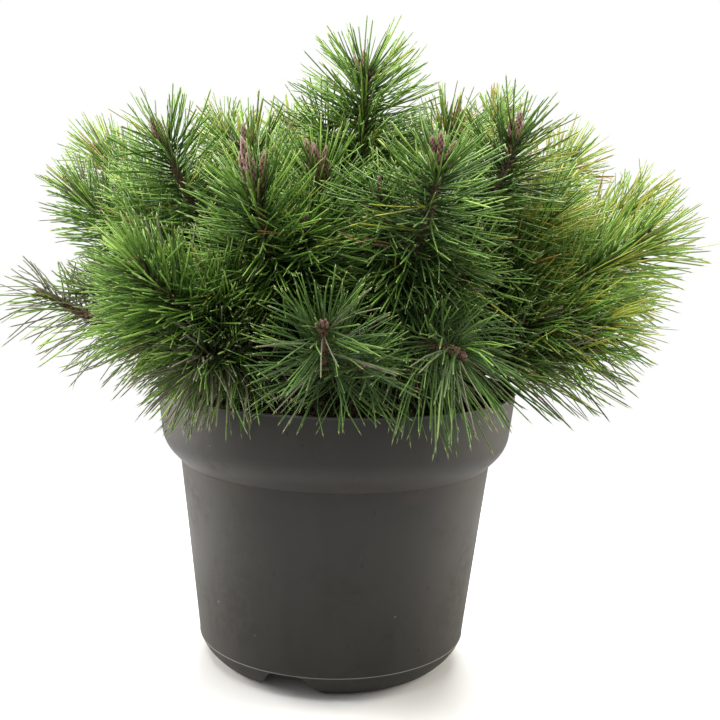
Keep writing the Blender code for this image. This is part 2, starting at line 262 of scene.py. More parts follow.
class StageSettings(bpy.types.PropertyGroup):
    camera_distance: FloatProperty(
        name="Camera distance", description="From the pot's axis, level",
        default=0.6754, unit="LENGTH",
    )
    camera_height: FloatProperty(
        name="Camera height", description="Above the floor", default=0.2874, unit="LENGTH",
    )
    pitch: FloatProperty(
        name="Pitch", description="How far the camera looks down",
        default=radians(7.85), subtype="ANGLE",
    )
    yaw: FloatProperty(
        name="Yaw", description="How far the camera turns to the right",
        default=radians(1.21), subtype="ANGLE",
    )
    roll: FloatProperty(
        name="Roll", description="How far the picture leans",
        default=radians(1.64), subtype="ANGLE",
    )
    lens: FloatProperty(name="Lens", description="Focal length in millimetres", default=52.5)
    floor: FloatVectorProperty(
        name="Floor", description="Colour of the floor", subtype="COLOR",
        default=(0.86, 0.86, 0.855),
    )


# Meshes

def unit(vectors):
    """Vectors divided by their own lengths."""
    return vectors / np.linalg.norm(vectors, axis=-1, keepdims=True)


def new_piece(name, shape, materials, coats=None):
    """A smooth mesh from a shape: its corner points, then arrays of faces, where each array
    holds faces with one number of corners. coats gives each face its material's number."""
    points, *faces = shape
    mesh = bpy.data.meshes.new(name)
    corners = np.concatenate([array.ravel() for array in faces])
    sizes = np.concatenate([np.full(len(array), array.shape[1]) for array in faces])
    mesh.vertices.add(len(points))
    mesh.vertices.foreach_set("co", np.asarray(points, np.float32).ravel())
    mesh.loops.add(len(corners))
    mesh.loops.foreach_set("vertex_index", corners.astype(np.int32))
    mesh.polygons.add(len(sizes))
    mesh.polygons.foreach_set("loop_start", (np.cumsum(sizes) - sizes).astype(np.int32))
    for material in materials:
        mesh.materials.append(material)
    if coats is not None:
        mesh.polygons.foreach_set("material_index", coats.astype(np.int32))
    mesh.update(calc_edges=True)
    mesh.shade_smooth()
    piece = bpy.data.objects.new(name, mesh)
    bpy.context.scene.collection.objects.link(piece)
    return piece


def join_shapes(shapes):
    """One (points, quads, triangles) of several, with each shape's corners counted on."""
    starts = np.cumsum([0] + [len(shape[0]) for shape in shapes[:-1]])
    points = np.concatenate([shape[0] for shape in shapes])
    quads = np.concatenate([shape[1] + start for shape, start in zip(shapes, starts)])
    triangles = np.concatenate([shape[2] + start for shape, start in zip(shapes, starts)])
    return points, quads, triangles


def closed_grid(rows, first_pole, last_pole):
    """A grid of rings, given as rows of points going round, closed with a fan at each end.
    Each quad joins a point, its neighbour in the ring, and the same two in the next ring."""
    count, around = rows.shape[:2]
    index = np.arange(count * around).reshape(count, around)
    after = np.roll(index, -1, axis=1)
    quads = np.stack((index[:-1], after[:-1], after[1:], index[1:]), axis=-1).reshape(-1, 4)
    low, high = count * around, count * around + 1
    fans = np.concatenate((
        np.stack((after[0], index[0], np.full(around, low)), axis=-1),
        np.stack((index[-1], after[-1], np.full(around, high)), axis=-1),
    ))
    points = np.concatenate((rows.reshape(-1, 3), [first_pole], [last_pole]))
    return points, quads, fans


def even_turns(count):
    """Angles that share out a full turn evenly."""
    return np.arange(count) * 2 * pi / count


def level_rings(radius, height, around):
    """Rings round Z. A point is its ring's radius times the cosine and sine of its angle, at
    its ring's height."""
    angle, radius, height = even_turns(around), radius[:, None], height[:, None]
    return np.stack((
        radius * np.cos(angle), radius * np.sin(angle), height + 0 * angle,
    ), axis=-1)


def turned(profile, around):
    """A profile of (radius, height) points spun round Z, with both ends closed on the axis."""
    rows = level_rings(profile[:, 0], profile[:, 1], around)
    return closed_grid(rows, (0, 0, profile[0, 1]), (0, 0, profile[-1, 1]))


def rounded(corners, radii, steps=6):
    """A line through corners with each one rounded off: a quadratic curve that starts and
    ends as far from the corner as its radius says, on the lines to its neighbours. Points
    that fall on the one before are left out."""
    corners, radii = np.array(corners, float), np.array(radii, float)[:, None]
    before = np.concatenate((corners[:1], corners[:-1]))
    after = np.concatenate((corners[1:], corners[-1:]))
    to_before, to_after = before - corners, after - corners
    to_before[1:] = unit(to_before[1:])
    to_after[:-1] = unit(to_after[:-1])
    start, end = corners + to_before * radii, corners + to_after * radii
    t = np.linspace(0, 1, steps)[None, :, None]
    curve = (
        start[:, None] * (1 - t) ** 2
        + corners[:, None] * 2 * t * (1 - t)
        + end[:, None] * t ** 2
    )
    line = curve.reshape(-1, 2)
    hair = 1e-6
    apart = np.linalg.norm(np.diff(line, axis=0), axis=1) > hair
    return line[np.concatenate(([True], apart))]


def waves(points, size, seed, count=9):
    """Soft lumps about as large as size, mostly from -1 to 1: twice the mean of sine waves
    that run in seeded directions, with seeded lengths and phases."""
    draw = np.random.default_rng(seed)
    facing = unit(draw.normal(size=(count, 3))) * draw.uniform(0.6, 1.6, (count, 1))
    phase = draw.uniform(0, 2 * pi, count)
    return np.sin(points @ facing.T * pi / size + phase).mean(axis=-1) * 2


def quadratic(start, bend, end, count):
    """Points on a curve that leaves start towards bend and arrives at end from it: start
    times (1 - t) squared, plus bend times 2 t (1 - t), plus end times t squared."""
    t = np.linspace(0, 1, count)[:, None]
    return start * (1 - t) ** 2 + bend * 2 * t * (1 - t) + end * t ** 2


def along_path(points, distances):
    """Places and unit directions at distances along a chain of points."""
    steps = np.linalg.norm(np.diff(points, axis=0), axis=1)
    reached = np.concatenate(([0], np.cumsum(steps)))
    slope = np.gradient(points, reached, axis=0)
    place = np.stack([np.interp(distances, reached, points[:, i]) for i in range(3)], -1)
    heading = np.stack([np.interp(distances, reached, slope[:, i]) for i in range(3)], -1)
    return place, unit(heading)


def path_length(points):
    """The sum of the steps from each point to the next."""
    return np.linalg.norm(np.diff(points, axis=0), axis=1).sum()


def round_frame(heading):
    """Two unit directions square to each heading and to each other."""
    side = unit(np.cross(heading, RING_TURN))
    return side, np.cross(heading, side)


def ways_out(side, other, turn):
    """Directions at a turn from side towards other: side times the turn's cosine plus other
    times its sine."""
    return side * np.cos(turn)[..., None] + other * np.sin(turn)[..., None]


def scales(turn, distance, starts, pitch):
    """Diamond scales in crossing spirals, from 0 in the grooves to 1 on a scale: the product
    of two sines whose phases grow with the turn, one with and one against the distance."""
    phase = starts * turn / 2
    climb = pi * distance / pitch
    return np.abs(np.sin(phase + climb) * np.sin(phase - climb)) ** 0.5


def stem_surface(points, radii, around, spacing, relief, scale_size, seed):
    """A bark tube carried along a path, and how far each of its quads is up its scale. Each
    point lies on a ring square to the path, at the path's radius there times one plus relief
    times its scales and lumps."""
    length = path_length(points)
    count = max(int(length / spacing), 3)
    distance = np.linspace(0, length, count)
    place, heading = along_path(points, distance)
    side, other = round_frame(heading)
    turn = even_turns(around)[None]
    radius = np.interp(distance / length, np.linspace(0, 1, len(radii)), radii)[:, None]
    outward = ways_out(side[:, None], other[:, None], turn)
    flat = place[:, None] + outward * radius[..., None]
    starts = max(round(2 * pi * radius.mean() / scale_size), 3)
    raised = scales(turn, distance[:, None], starts, scale_size)
    bumps = raised - 0.5 + waves(flat, 4 * scale_size, seed)
    rows = place[:, None] + outward * (radius * (1 + relief * bumps))[..., None]
    return closed_grid(rows, place[0], place[-1]), raised[:-1].ravel()


# Growth

# A stem: its shoot, its line, its radii from base to tip, the line that carries its needles,
# and how long those are for the shoot's, which is 1 on the shoot's own stem
Stem = namedtuple("Stem", "shoot points radii needled vigour")
TIP_RADIUS = 0.0023
SIDE_RADII = (0.0021, 0.0018, 0.0015)
SIDE_VIGOUR = 0.88

# The share of a limb that is bare, how far a side shoot's tip keeps from the pot and the
# lowest that it may end, and the lowest that a needle may end, for the plant and for two shoots
NEEDLED_LIMB = 0.36
SIDE_CLEARANCE = 0.022
LOWEST_TIP = 0.205
SKIRT = 0.163
SKIRTS = {"front_rosette": 0.175, "right_rosette": 0.157}

# The radius where the wall starts, and how far needles keep from the wall and from the peat
WALL_START = 0.105
WALL_CLEARANCE = 0.0008
PEAT_CLEARANCE = 0.001


def direction(bearing, lift):
    """The unit direction at a bearing and a lift in degrees."""
    bearing, lift = radians(bearing), radians(lift)
    return np.array((sin(bearing) * cos(lift), -cos(bearing) * cos(lift), sin(lift)))


def base_direction(shoot):
    """Where a shoot's base lies as seen from the fork: as its tip does, less its climb."""
    return direction(shoot.bearing, shoot.lift - shoot.climb)


def base_point(shoot):
    """A shoot's base, where its limb comes out of a ball round the fork."""
    return FORK + base_direction(shoot) * CORE_RADIUS


def tip_point(shoot):
    """A shoot's tip, at its reach from the fork."""
    return FORK + direction(shoot.bearing, shoot.lift) * shoot.reach


def at_share(points, share):
    """The place at a share of a line's points, straight between the two nearest."""
    position = share * (len(points) - 1)
    whole = min(int(position), len(points) - 2)
    return points[whole] + (points[whole + 1] - points[whole]) * (position - whole)


def trunk_line(count):
    """The stem's centre line, a quadratic curve from the peat to the leader's base, where it
    heads straight away from the fork."""
    along = base_direction(LEADER)
    top = base_point(LEADER) - along * GAP
    foot = np.array((0, 0, PEAT_HIGH.z + GAP))
    return quadratic(foot, top - along * TRUNK_BEND, top, count)


def limb_lines():
    """The centre line of every limb by its shoot's name. One that the trunk carries starts on
    the trunk's line, higher up the steeper it is, and any other on its carrier's line."""
    stem = trunk_line(len(TRUNK_RADII))
    lines = {"trunk": trunk_line(TRUNK_POINTS)}
    for limb in ("bough", "twig"):
        grown = [shoot for shoot in SHOOTS if shoot.carrier == "trunk" and shoot.limb == limb]
        for number, shoot in enumerate(grown):
            steepness = sin(radians(shoot.lift - shoot.climb))
            share = LOWEST_BOUGH + BOUGH_SPREAD * steepness + BOUGH_STAGGER * (number % 2)
            lines[shoot.name] = limb_line(shoot, at_share(stem, share))
    for carrier in SHOOTS:
        for order, shoot in enumerate(s for s in SHOOTS if s.carrier == carrier.name):
            start = at_share(lines[carrier.name], FIRST_FORK + NEXT_FORK * order)
            lines[shoot.name] = limb_line(shoot, start)
    return lines


def limb_line(shoot, start):
    """A limb's centre line, a quadratic curve that arrives at its shoot's base heading straight
    away from the fork."""
    along = base_direction(shoot)
    end = base_point(shoot) - along * GAP
    return quadratic(start, end - along * LIMB_BEND, end, LIMB_POINTS)


def main_stem(shoot, limb, end_radius):
    """A shoot's own stem, a quadratic curve that starts a little inside its limb, leaves it
    in line and bends up to its tip. Its needles start on the outer part of the limb."""
    base, tip, along = base_point(shoot), tip_point(shoot), base_direction(shoot)
    back = 0.002
    bend = base + along * np.linalg.norm(tip - base) / 2
    line = quadratic(base - along * back, bend, tip, LIMB_POINTS)
    needled = np.concatenate((limb[int(len(limb) * NEEDLED_LIMB):-2], line))
    return Stem(shoot, line, (end_radius, end_radius * 0.92, TIP_RADIUS), needled, 1)


def side_stems(stem, spacing, draw):
    """The side shoots of a shoot, as quadratic curves. Each leaves it at the next golden angle
    and 32 to 48 degrees off its line, is shorter the nearer it starts to the tip, and curves
    forwards. Of nine draws for the first one's turn, the one is taken that hides the best
    side least. One that would end low down or near the pot isn't grown."""
    length = path_length(stem.points)
    count = max(int(length / spacing), 1)
    share = np.linspace(0.02, 0.42, count + 1)[:count] + draw.uniform(0, 0.08, count)
    place, heading = along_path(stem.points, share * length)
    side, other = round_frame(heading)
    tries = 9
    turns = np.arange(count) * GOLDEN_ANGLE + draw.uniform(0, 2 * pi, (tries, 1))
    ways = ways_out(side, other, turns)
    outward = ways[ways[..., 1].min(axis=1).argmax()]
    lean = np.radians(draw.uniform(32, 48, count))[:, None]
    off = heading * np.cos(lean) + outward * np.sin(lean)
    reach = (length * (0.66 - 0.50 * share) * draw.uniform(0.8, 1.05, count))[:, None]
    bend = place + off * reach * 0.6
    tip = place + off * reach * 0.85 + heading * reach * 0.18
    stems = []
    for start, middle, end in zip(place, bend, tip):
        if near_pot(end, SIDE_CLEARANCE) or end[2] < LOWEST_TIP:
            continue
        line = quadratic(start, middle, end, SIDE_POINTS)
        stems.append(Stem(stem.shoot, line, SIDE_RADII, line, SIDE_VIGOUR))
    return stems


def near_pot(points, margin):
    """True for points inside the pot's outline, or nearer to it than the margin."""
    radius = np.hypot(points[..., 0], points[..., 1])
    return (radius < POT_HIGH.x + margin) & (points[..., 2] < POT_HIGH.z + margin)


def blocked(points):
    """True for points in the pot's wall or in the peat, or within a hair of them."""
    over_peat = np.hypot(points[..., 0], points[..., 1]) <= WALL_START
    in_peat = over_peat & (points[..., 2] < PEAT_HIGH.z + PEAT_CLEARANCE)
    return in_peat | (~over_peat & near_pot(points, WALL_CLEARANCE))


# Needles as arrays: where they start, which way they point, how far their tips bend away, the
# way across them, their lengths and widths, and the colours of needle and point
Needles = namedtuple("Needles", "base out bend side length width tone point")

# How far the needles of the lowest shoots droop for their length, the share of needles with a
# straw point, and how far from the fork the outer needles lie, which are the palest
DROOP = 0.22
STRAW_SHARE = 0.25
TONE_REACH = 0.20

# Where along a needle its rings lie, and how full it is there
NEEDLE_RINGS = np.array((0.0, 0.30, 0.64, 0.95))
NEEDLE_FULLNESS = np.array((0.80, 1.0, 1.0, 0.82))


def needles_on(stem, settings, draw):
    """Pairs of needles round a stem, each pair at the next golden angle.

    A needle leaves the stem at the shoot's spread, a little more on the oldest wood and less
    than half as much at the bud, which makes the tip a tuft. The two needles of a pair part
    by a few degrees. Each bends forwards along the stem, sideways at random and down, more
    so on the shoots that lie lowest. A needle that would pass through the pot or the peat,
    or end below the skirt, is left out."""
    shoot = stem.shoot
    length = path_length(stem.needled)
    count = int(length * settings.pairs_per_metre * shoot.dense)
    share = (np.arange(count) + 0.5) / count
    place, heading = along_path(stem.needled, length * share)
    side, other = round_frame(heading)
    turn = np.arange(count) * GOLDEN_ANGLE + draw.normal(0, 0.2, count)
    around = ways_out(side, other, turn)
    spread = shoot.spread * (1.20 - 0.15 * share - 0.58 * share ** 7)
    spread = np.radians(spread + draw.normal(0, 1, count) * (5 + 5 * share ** 4))[:, None]
    out = heading * np.cos(spread) + around * np.sin(spread)
    radius = np.interp(share, np.linspace(0, 1, len(stem.radii)), stem.radii)
    base = place + around * radius[:, None] * 0.8
    tone = tones(shoot, share, place, draw)

    base, out, heading, share, tone = (
        np.repeat(values, 2, axis=0) for values in (base, out, heading, share, tone)
    )
    count *= 2
    apart = unit(np.cross(out, np.repeat(draw.normal(size=(count // 2, 3)), 2, axis=0)))
    half = np.radians(draw.uniform(2, 9, count)) * np.tile((-1, 1), count // 2)
    out = unit(out + apart * np.tan(half)[:, None])
    size = settings.needle_length * stem.vigour * shoot.size
    size = size * (1 - 0.34 * share ** 8) * draw.uniform(0.82, 1.08, count)
    curl = unit(np.cross(out, draw.normal(size=(count, 3))))
    low = min(max((20 - shoot.lift) / 8, 0), 1)
    bend = (
        heading * draw.uniform(0.02, 0.30, (count, 1))
        + curl * draw.normal(0, 0.14 + 0.12 * min(2 * low, 1), (count, 1))
        - np.array((0, 0, 1)) * (DROOP * low + draw.uniform(0.0, 0.10, (count, 1)))
    ) * size[:, None]
    width = settings.needle_width * draw.uniform(0.85, 1.15, count)
    t = np.linspace(0.2, 1, 7)[:, None, None]
    track = base + out * size[:, None] * t + bend * t ** 2
    clear = ~blocked(track).any(axis=0) & (track[-1, :, 2] > SKIRTS.get(shoot.name, SKIRT))
    side = unit(np.cross(out, curl + 0.3 * heading))
    # A pale point is partly a painted highlight on the needle's tip
    point = np.where(draw.uniform(0, 1, count) < STRAW_SHARE, STRAW_POINT, PALE_POINT_AND_HIGHLIGHT)
    made = Needles(base, out, bend, side, size, width, tone, point)
    return Needles(*(values[clear] for values in made))


def tones(shoot, share, place, draw):
    """The number of each needle pair's colour: a darker green on old wood and deep in the
    crown, a fresher one towards the bud and the outside, and the shoot's own share of others."""
    outside = np.linalg.norm(place - FORK, axis=1) / TONE_REACH
    tone = 0.28 + share + 1.35 * outside + draw.normal(0, 0.8, len(share))
    # Painted shade: a shoot listed in SHADED takes darker greens, or paler ones where negative
    tone = tone - SHADED.get(shoot.name, 0)
    tone = np.clip(tone, 0, GREENS - 1).astype(int)
    for other, chance in (
        (YELLOW, shoot.yellow * (0.15 + share)),
        (GOLDEN, shoot.golden * (0.15 + share)),
        (GREY, shoot.grey),
        (DEAD, 0.012 * (1 - share)),
    ):
        tone = np.where(draw.uniform(0, 1, len(share)) < chance, other, tone)
    return tone


def needle_shapes(needles):
    """The shape of slim three-sided needles with a short point, and its faces' colour numbers.

    The centre line is the base plus the direction times the length times t, plus the bend
    times t squared. A ring has two corners at half the width along the side direction and
    one at half the width on the rounded back, all times the fullness there. A green needle
    is one tone darker in its lower part, a painted shade, and one tone paler in its upper
    part, a painted light, and its point has its own colour."""
    t = NEEDLE_RINGS[None, :, None]
    reach = (needles.out * needles.length[:, None])[:, None]
    bend = needles.bend[:, None]
    centre = needles.base[:, None] + reach * t + bend * t ** 2
    slope = unit(reach + 2 * bend * t)
    side = needles.side[:, None] + 0 * slope
    back = np.cross(slope, side)
    half = (needles.width[:, None] * NEEDLE_FULLNESS / 2)[..., None]
    rings = np.stack((centre - side * half, centre + side * half, centre + back * half), axis=2)
    tip = needles.base + reach[:, 0] + needles.bend
    count, ring_count = len(tip), len(NEEDLE_RINGS)
    size = ring_count * 3 + 1
    points = np.concatenate((rings.reshape(count, -1, 3), tip[:, None]), axis=1)
    ring = np.arange(ring_count * 3).reshape(ring_count, 3)
    after = np.roll(ring, -1, axis=1)
    quads = np.stack((ring[:-1], after[:-1], after[1:], ring[1:]), axis=-1).reshape(-1, 4)
    end = np.stack((ring[-1], after[-1], np.full(3, size - 1)), axis=-1)
    triangles = np.concatenate((ring[:1, ::-1], end))
    start = (np.arange(count) * size)[:, None, None]
    tone, point = needles.tone[:, None], needles.point[:, None]
    green = tone < GREENS
    # Painted shade on a needle's lower part and painted light on its upper part
    lower = np.where(green & (tone > 0), tone - 1, tone)
    upper = np.where(green & (tone < GREENS - 1), tone + 1, tone)
    quad_tones = np.concatenate((lower, tone, upper), axis=1)
    triangle_tones = np.concatenate((lower, point), axis=1)
    coats = np.concatenate((
        np.repeat(quad_tones, 3, axis=1).ravel(),
        np.repeat(triangle_tones, (1, 3), axis=1).ravel(),
    ))
    quads, triangles = (quads + start).reshape(-1, 4), (triangles + start).reshape(-1, 3)
    return (points.reshape(-1, 3), quads, triangles), coats


def bud_shape(base, axis, length, radius, seed):
    """One bud, and True for each face on a resinous scale edge.

    A point lies at its share of the length up the axis, and out from it by the radius times
    the bud's outline, which swells a little in the middle and ends in a blunt round tip as
    the root of one less the fifth power of the share, times its scales. The whole bud bows
    to one side by the square of the share."""
    rows, around = 13, 10
    share = np.linspace(0.0, 0.985, rows)[:, None]
    turn = even_turns(around)[None] + share * 1.1
    outline = (0.68 + 1.2 * share * (1 - share)) * np.sqrt(1 - share ** 5)
    scale = scales(turn, share * length, 5, length / 6)
    reach = radius * outline * (0.80 + 0.42 * scale)
    side, other = round_frame(axis[None])
    outward = ways_out(side, other, turn)
    bow = side * 0.06 * length * np.sin(seed) * share[..., None] ** 2
    grid = base + axis * (share * length)[..., None] + outward * reach[..., None] + bow
    shape = closed_grid(grid, base, base + axis * length + bow[-1, 0])
    resin = ((scale[:-1] > 0.72) & (share[:-1] > 0.12) | (share[:-1] > 0.88)).ravel()
    return shape, np.concatenate((resin, np.repeat((False, True), around)))


# Materials

class Amount:
    """A number that varies over a surface: a socket, on which sums add Math nodes."""

    def __init__(self, finish, socket):
        self.finish, self.socket = finish, socket

    def maths(self, operation, first, second):
        node = self.finish.node("ShaderNodeMath", {"operation": operation}, {0: first, 1: second})
        return Amount(self.finish, node.outputs[0])

    def __add__(self, other):
        return self.maths("ADD", self, other)

    def __sub__(self, other):
        return self.maths("SUBTRACT", self, other)

    def __rsub__(self, other):
        return self.maths("SUBTRACT", other, self)

    def __mul__(self, other):
        return self.maths("MULTIPLY", self, other)

    def __pow__(self, other):
        return self.maths("POWER", self, other)

    def __abs__(self):
        return self.maths("ABSOLUTE", self, 0)

    __radd__ = __add__
    __rmul__ = __mul__

    def between(self, low, high):
        """0 below low, 1 above high and a smooth step in between."""
        node = self.finish.node(
            "ShaderNodeMapRange", {"interpolation_type": "SMOOTHSTEP"},
            {0: self, 1: low, 2: high, 3: 0.0, 4: 1.0},
        )
        return Amount(self.finish, node.outputs[0])

    def within(self, rise, fall):
        """0 to 1 over the rise and back to 0 over the fall, each a pair of values."""
        return self.between(*rise) * (1 - self.between(*fall))


class Finish:
    """A material with one Principled shader, and the nodes that feed it."""

    def __init__(self, name, colour, roughness):
        self.material = bpy.data.materials.new(name)
        self.material.use_nodes = True
        self.tree = self.material.node_tree
        self.shader = self.tree.nodes["Principled BSDF"]
        self.set("Metallic", 0)
        self.set("Base Color", opaque(colour))
        self.set("Roughness", roughness)

    def set(self, name, value):
        """Gives one of the shader's sockets a value or a link."""
        self.plug(self.shader.inputs[name], value)

    def plug(self, socket, value):
        """Gives a socket a value, or a link where the value is a socket or an Amount."""
        if isinstance(value, Amount):
            value = value.socket
        if isinstance(value, bpy.types.NodeSocket):
            self.tree.links.new(value, socket)
        else:
            socket.default_value = value

    def node(self, kind, settings, inputs):
        """A node of a kind, with its settings and then the values or links of its sockets."""
        made = self.tree.nodes.new(kind)
        for name, value in settings.items():
            setattr(made, name, value)
        for name, value in inputs.items():
            self.plug(made.inputs[name], value)
        return made

    def place(self, scale=(1, 1, 1)):
        """Object coordinates, stretched by a scale."""
        coordinates = self.node("ShaderNodeTexCoord", {}, {})
        mapping = self.node(
            "ShaderNodeMapping", {}, {"Vector": coordinates.outputs["Object"], "Scale": scale},
        )
        return mapping.outputs[0]

    def axis(self, name):
        """How far along X, Y or Z a place is."""
        split = self.node("ShaderNodeSeparateXYZ", {}, {0: self.place()})
        return Amount(self, split.outputs[name])

    def noise(self, scale, detail, stretch=(1, 1, 1)):
        """Soft patches, smaller as the scale grows, finer with more detail."""
        node = self.node(
            "ShaderNodeTexNoise", {},
            {"Vector": self.place(stretch), "Scale": scale, "Detail": detail, "Roughness": 0.55},
        )
        return Amount(self, node.outputs[0])

    def cells(self, scale, feature="F1", stretch=(1, 1, 1)):
        """The distance to the nearest cell's middle, or to its edge."""
        node = self.node(
            "ShaderNodeTexVoronoi", {"feature": feature},
            {"Vector": self.place(stretch), "Scale": scale},
        )
        return Amount(self, node.outputs[0])

    def mix(self, share, first, second):
        """The first colour where the share is 0 and the second where it is 1."""
        node = self.node(
            "ShaderNodeMix", {"data_type": "RGBA"}, {0: share, 6: first, 7: second},
        )
        return node.outputs[2]

    def bump(self, height, distance, strength):
        """Raises the surface's shading by a height of up to the distance."""
        node = self.node(
            "ShaderNodeBump", {},
            {"Height": height, "Distance": distance, "Strength": strength},
        )
        self.set("Normal", node.outputs[0])


def opaque(colour):
    """A colour with a full alpha."""
    return (*colour, 1)


def plastic_finish(settings, seam_height):
    """Matt moulded plastic with faint flow marks, dust and shade in the crease under the
    collar, a few specks, and a pale moulding line and lip."""
    finish = Finish("pot_plastic", settings.plastic, 0.5)
    plastic, foot = np.array(settings.plastic), settings.collar_foot
    height = finish.axis("Z")
    cloud = finish.noise(26, 4)
    streaks = finish.noise(90, 3, stretch=(1, 1, 0.10))
    clean = finish.mix(
        (cloud * 0.6 + streaks * 0.4).between(0.35, 0.65),
        opaque(plastic * 0.88), opaque(plastic * 1.14),
    )
    crease = height.within((foot - 0.0116, foot - 0.0011), (foot + 0.0009, foot + 0.0064))
    dusty = finish.noise(22, 4).between(0.48, 0.70) * finish.noise(160, 3).between(0.35, 0.60)
    dusted = finish.mix(dusty * crease * 0.42, clean, opaque(settings.dust))
    rare = finish.noise(38, 2).between(0.54, 0.60)
    specks = (1 - finish.cells(120, stretch=(1, 1, 0.6)).between(0.07, 0.14)) * rare
    specked = finish.mix(specks * 0.75, dusted, opaque(DARK_SPECK))
    pale = (1 - finish.cells(95).between(0.04, 0.08)) * finish.noise(31, 2).between(0.54, 0.60)
    spotted = finish.mix(pale * 0.6, specked, opaque(PALE_SPECK))
    shade = height.within((foot - 0.0126, foot - 0.0010), (foot - 0.0002, foot + 0.0008))
    marked = finish.mix(shade * 0.40, spotted, opaque(plastic * 0.45))
    seam = 1 - abs(height - seam_height).between(0.0001, 0.0004)
    lip = height.between(POT_HIGH.z - 0.0014, POT_HIGH.z - 0.0006)
    # A pale line along the moulding line, and a fainter one round the top of the lip
    edges = finish.mix(seam * 0.60 + lip * 0.16, marked, opaque(PALE_LINE))
    finish.set("Base Color", edges)
    worn = 1 - height.between(0.02, 0.11)
    finish.set("Roughness", 0.50 + 0.12 * cloud + 0.10 * dusty + 0.18 * worn)
    finish.set("Specular IOR Level", 0.36)
    finish.bump(finish.noise(900, 2) + 0.5 * streaks, 0.00025, 0.22)
    return finish.material


def peat_finish(settings):
    """Dark moist peat with paler fibres."""
    finish = Finish("peat", settings.peat, 0.92)
    peat = np.array(settings.peat)
    grains = finish.noise(420, 5)
    fibres = finish.noise(160, 3, stretch=(1, 4, 1)).between(0.60, 0.74)
    ground = finish.mix(grains.between(0.35, 0.7), opaque(peat * 0.5), opaque(peat * 2.2))
    finish.set("Base Color", finish.mix(fibres * 0.6, ground, opaque(peat * (7, 6, 5))))
    finish.set("Roughness", 0.80 + 0.15 * grains)
    finish.bump(grains, 0.0012, 0.8)
    return finish.material


def bark_finish(settings):
    """Grey-brown scaly bark with dark grooves and a rusty tint between the scales."""
    finish = Finish("bark", settings.bark, 0.88)
    bark = np.array(settings.bark)
    flakes = finish.cells(330, "DISTANCE_TO_EDGE", (1, 1, 0.5))
    grain = finish.noise(500, 4, stretch=(1, 1, 0.35))
    patches = finish.noise(70, 3)
    plates = finish.mix(patches.between(0.35, 0.68), opaque(bark), opaque(bark * (1.5, 1.7, 1.9)))
    worn = finish.mix(grain.between(0.45, 0.75) * 0.6, plates, opaque(bark * (2.3, 1.8, 1.4)))
    finish.set("Base Color", finish.mix(flakes.between(0.02, 0.16), opaque(bark * 0.3), worn))
    finish.set("Roughness", 0.80 + 0.15 * grain)
    finish.bump(flakes.between(0.0, 0.25) + 0.4 * grain, 0.0008, 0.7)
    return finish.material


def plain_finish(name, colour, roughness):
    """One even colour, as on needles and twigs, whose colours are dealt out by spray."""
    finish = Finish(name, colour, roughness)
    finish.set("Specular IOR Level", 0.25)
    return finish.material


# Operators

class Builder:
    """What every operator of this file shares."""

    bl_options = {"REGISTER", "UNDO"}

    def settings(self, context):
        """The sizes and colours that a user may change."""
        return context.scene.potted_pine

    def finish_piece(self, piece, slot, *nodes):
        """Gives a piece its body and hides the solids that it stands for. The slot is not used."""
        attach(piece, BODY)
        if nodes:
            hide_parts(*nodes)


def channel_cutter(name, height, bearings, half_low, half_high, inner, outer):
    """Long blocks that widen downwards, with rounded upper edges, one along each bearing.

    Across a channel, a point's half width goes from half_low below to half_high above, and
    the corner between side and top is a quadratic curve. Just under the pot it grows by the
    flare, and the curve of that corner flares the channel's foot. The outline is carried
    outwards, and its inner end slopes."""
    below, flare, inner_slope = -0.0002, 0.010, 0.008
    outline = rounded(
        [
            (half_low + flare, -height), (half_low + flare, below),
            (half_low, below), (half_high, height), (0.001, height),
        ],
        [0, 0.0003, 0.0090, 0.0035, 0],
    )
    outline = np.concatenate((outline, (outline * (-1, 1))[::-1]))
    reach = np.array((inner, outer))[:, None]
    shapes = []
    for bearing in bearings:
        out, up = direction(bearing, 0), np.array((0, 0, 1))
        across = np.cross(up, out)
        slope = inner_slope * np.clip(outline[:, 1] / height, 0, 1) * (reach == inner)
        rows = (
            out * (reach + slope)[..., None]
            + across * outline[None, :, :1]
            + up * outline[None, :, 1:]
        )
        low = up * height / 2
        shapes.append(closed_grid(rows, out * inner - low, out * outer - low))
    return new_piece(name, join_shapes(shapes), ())


def drill(name, bearings, ring, radius, low, high):
    """Upright cylinders, one along each bearing at a distance of ring from the axis."""
    points, quads, fans = turned(np.array([(radius, low), (radius, high)]), around=24)
    shapes = [(points + direction(bearing, 0) * ring, quads, fans) for bearing in bearings]
    return new_piece(name, join_shapes(shapes), ())


def cut_away(piece, cutter):
    """Cuts one mesh out of another, and leaves the result in the piece's mesh."""
    modifier = piece.modifiers.new("cut", "BOOLEAN")
    modifier.operation = "DIFFERENCE"
    modifier.solver = "EXACT"
    modifier.object = cutter
    graph = bpy.context.evaluated_depsgraph_get()
    made = bpy.data.meshes.new_from_object(piece.evaluated_get(graph))
    piece.modifiers.clear()
    piece.data = made
    bpy.data.objects.remove(cutter)


